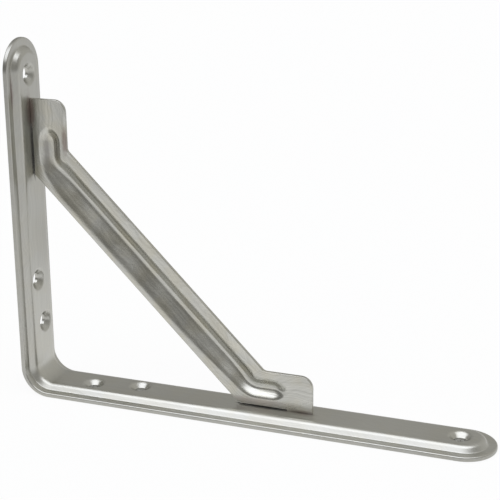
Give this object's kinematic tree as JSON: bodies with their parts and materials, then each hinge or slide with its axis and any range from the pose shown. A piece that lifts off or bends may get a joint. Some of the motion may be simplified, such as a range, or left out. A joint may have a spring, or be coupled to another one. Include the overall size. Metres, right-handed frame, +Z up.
{
  "type": "stayed shelf bracket",
  "caption": "Stayed shelf bracket: a pressed steel strip bent to an L, braced by a diagonal grooved plate stay welded to both legs, with countersunk screw holes.",
  "frame": {"origin": "middle of the bracket's box, on the plane that the shelf leg's rim lies in", "axes": "+X out along the shelf leg, +Y towards the side the groove bulges out of, +Z up the wall leg"},
  "size_m": [0.2, 0.026, 0.15],
  "materials": {
    "strip_steel": "satin",
    "stay_steel": "satin"
  },
  "bodies": {
    "root": {"leg_strip": "strip_steel", "grooved_stay": "stay_steel"}
  },
  "joints": []
}
